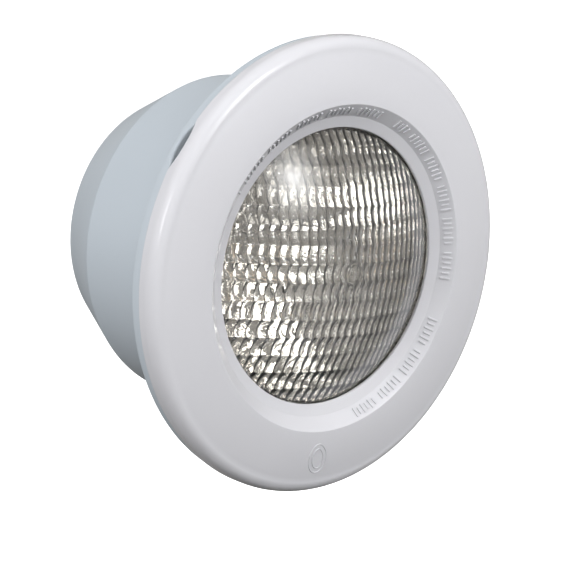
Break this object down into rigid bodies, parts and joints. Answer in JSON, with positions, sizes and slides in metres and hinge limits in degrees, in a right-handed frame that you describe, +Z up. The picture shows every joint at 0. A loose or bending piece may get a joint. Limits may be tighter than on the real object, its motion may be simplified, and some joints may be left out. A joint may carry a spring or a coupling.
{
  "type": "underwater pool light",
  "caption": "Recessed underwater pool light with a round push-fit face ring, a ribbed glass sealed-beam lamp in a sealed housing, and a tapered wall niche.",
  "frame": {"origin": "centre of the niche flange's back face, on the pool wall plane, at the centre of its screw circle", "axes": "-Y points out of the wall into the pool, the way the lamp shines; +Y points into the wall; +Z is up; +X is to the right seen from the pool"},
  "size_m": [0.28, 0.193, 0.28],
  "materials": {
    "face_plastic": "glossy moulded white ABS",
    "niche_plastic": "satin moulded pale blue-grey ABS",
    "housing_plastic": "satin moulded white plastic",
    "gland_plastic": "moulded black nylon",
    "rubber": "matt black rubber",
    "gasket_rubber": "matt black silicone",
    "stainless": "brushed stainless steel",
    "brass": "turned brass",
    "lens_glass": "clear pressed glass with vertical flutes and cross bands",
    "silvered_glass": "pressed glass, vacuum-aluminised inside",
    "tungsten": "drawn tungsten",
    "support_wire": "drawn support wire",
    "ferrule_metal": "pressed metal cups"
  },
  "bodies": {
    "niche": {"niche_shell": "niche_plastic", "screw_inserts": "brass", "niche_gland_body": "gland_plastic", "niche_gland_locknut": "gland_plastic", "niche_gland_washer": "rubber", "niche_gland_cap": "gland_plastic", "niche_gland_seal": "rubber"},
    "lamp_unit": {"rear_housing": "housing_plastic", "housing_gland_body": "gland_plastic", "housing_gland_locknut": "gland_plastic", "housing_gland_washer": "rubber", "housing_gland_cap": "gland_plastic", "housing_gland_seal": "rubber", "mounting_screws": "stainless", "screw_washers": "stainless"},
    "lamp": {"lamp_lens": "lens_glass", "lamp_reflector": "silvered_glass", "filament": "tungsten", "filament_supports": "support_wire", "lamp_ferrules": "ferrule_metal", "terminal_screws": "brass", "lamp_gasket": "gasket_rubber"},
    "retaining": {"retaining_ring": "stainless", "clamp_screws": "stainless"},
    "face": {"face_ring": "face_plastic"}
  },
  "joints": [
    {"name": "unit_slide", "type": "slide", "parent": "niche", "child": "lamp_unit", "axis": [0, -1, 0], "range_m": [0, 0.2]},
    {"name": "lamp_slide", "type": "slide", "parent": "lamp_unit", "child": "lamp", "axis": [0, -1, 0], "range_m": [0, 0.12]},
    {"name": "clamp_slide", "type": "slide", "parent": "lamp", "child": "retaining", "axis": [0, -1, 0], "range_m": [0, 0.05]},
    {"name": "face_slide", "type": "slide", "parent": "retaining", "child": "face", "axis": [0, -1, 0], "range_m": [0, 0.06]}
  ]
}
